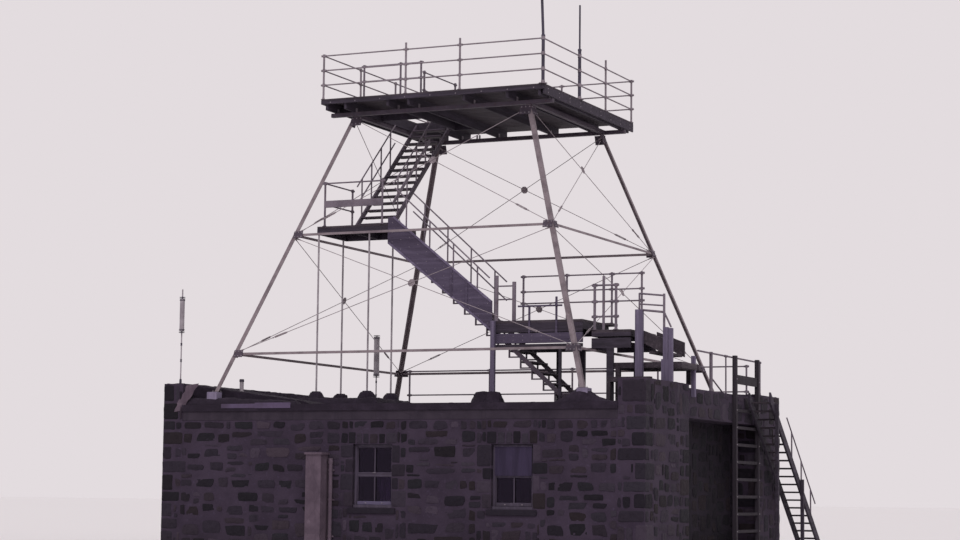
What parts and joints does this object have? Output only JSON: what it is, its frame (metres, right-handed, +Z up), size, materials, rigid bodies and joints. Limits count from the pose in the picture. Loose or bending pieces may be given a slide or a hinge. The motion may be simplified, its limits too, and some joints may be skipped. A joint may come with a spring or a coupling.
{
  "type": "fire lookout tower",
  "caption": "Braced steel lookout tower with a railed open platform, stairs and landings on a low rubble stone building.",
  "frame": {"origin": "ground level under the tower's centre line, on the underside of the ground floor slab", "axes": "+X to the right along the front wall, +Y from the front wall to the back wall, +Z up"},
  "size_m": [12.522, 11.4771, 13.3997],
  "materials": {
    "rubble_stone": "rough split faces in light mortar",
    "beam_render": "smooth weathered render",
    "floor_concrete": "float-finished concrete",
    "footing_concrete": "whitewashed concrete",
    "roof_covering": "tarred grit",
    "flue_render": "pale weathered render",
    "window_paint": "old gloss paint",
    "glass": "clear, dark behind",
    "tower_steel": "dull dark paint, weathered",
    "rod_steel": "dull dark paint",
    "rail_steel": "worn dark paint",
    "grey_steel": "dull grey paint",
    "deck_timber": "weathered boards",
    "dark_timber": "dark stained timber",
    "light_timber": "faded pale paint",
    "weathered_timber": "bare weathered timber"
  },
  "bodies": {
    "root": {"front_wall": "rubble_stone", "back_wall": "rubble_stone", "left_wall": "rubble_stone", "right_wall_front": "rubble_stone", "right_wall_back": "rubble_stone", "porch_wall": "rubble_stone", "porch_lintel": "rubble_stone", "ring_beams": "beam_render", "ground_floor": "floor_concrete", "roof_slab": "roof_covering", "roof_edge": "roof_covering", "window_frames": "window_paint", "window_glass": "glass", "flue": "flue_render", "leg_footings": "footing_concrete", "post_footings": "roof_covering", "roof_pipes": "grey_steel", "wall_ladder": "weathered_timber", "roof_rail_right": "rail_steel", "roof_rail_back": "rail_steel", "tower_legs": "tower_steel", "tower_rings": "tower_steel", "braces_front": "rod_steel", "braces_right": "rod_steel", "braces_back": "rod_steel", "braces_left": "rod_steel", "joint_plates": "tower_steel", "platform_beams": "tower_steel", "platform_joists": "dark_timber", "platform_fascia": "dark_timber", "platform_deck": "deck_timber", "platform_rail_front": "rail_steel", "platform_rail_right": "rail_steel", "platform_rail_back": "rail_steel", "platform_rail_left": "rail_steel", "stair_guard": "rail_steel", "masts": "grey_steel", "upper_stair_stringers": "tower_steel", "upper_stair_treads": "deck_timber", "upper_stair_rails": "rail_steel", "upper_landing_deck": "deck_timber", "upper_landing_frame": "dark_timber", "upper_landing_rail": "rail_steel", "upper_landing_posts": "grey_steel", "lower_stair_stringers": "tower_steel", "lower_stair_treads": "deck_timber", "lower_stair_side_board": "light_timber", "lower_stair_rails": "rail_steel", "lower_landing_deck": "deck_timber", "lower_landing_frame": "dark_timber", "lower_landing_side_board": "light_timber", "lower_landing_rails": "rail_steel", "lower_landing_posts": "dark_timber", "lower_landing_end_post": "light_timber", "side_stair_treads": "deck_timber", "side_stair_posts": "light_timber", "side_stair_rails": "rail_steel", "outer_stair_stringers": "dark_timber", "outer_stair_treads": "deck_timber", "outer_stair_rail": "rail_steel"}
  },
  "joints": []
}
